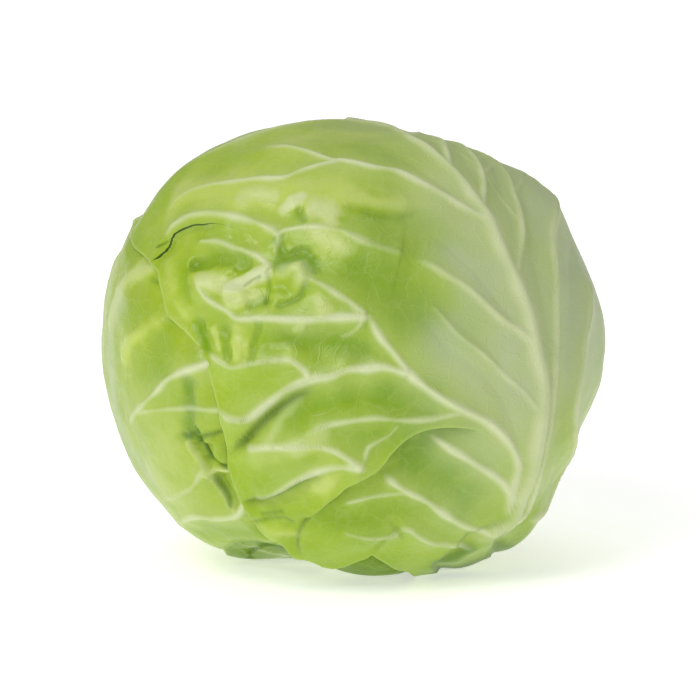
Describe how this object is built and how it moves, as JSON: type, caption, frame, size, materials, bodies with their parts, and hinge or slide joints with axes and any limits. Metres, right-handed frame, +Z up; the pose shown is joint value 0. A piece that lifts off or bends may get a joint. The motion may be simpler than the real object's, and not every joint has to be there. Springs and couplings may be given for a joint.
{
  "type": "cabbage head",
  "caption": "Round green cabbage head with crinkled wrapper leaves round a dense heart and a short cut stem, resting on a small flat spot.",
  "frame": {"origin": "the middle of the head's footprint, on the surface it rests on", "axes": "+X to the right of the front, +Y away from the front, +Z up"},
  "size_m": [0.1768, 0.1686, 0.1563],
  "materials": {
    "front_leaf": "waxy green leaf, soft sheen",
    "foot_leaf": "waxy green leaf, soft sheen",
    "left_leaf": "pale waxy green leaf, soft sheen",
    "back_leaf": "waxy green leaf, soft sheen",
    "heart": "pale green packed leaves, satin",
    "stem": "pale cut stem, matt"
  },
  "bodies": {
    "root": {"front_leaf": "front_leaf", "foot_leaf": "foot_leaf", "left_leaf": "left_leaf", "back_leaf": "back_leaf", "heart": "heart", "stem": "stem"}
  },
  "joints": []
}
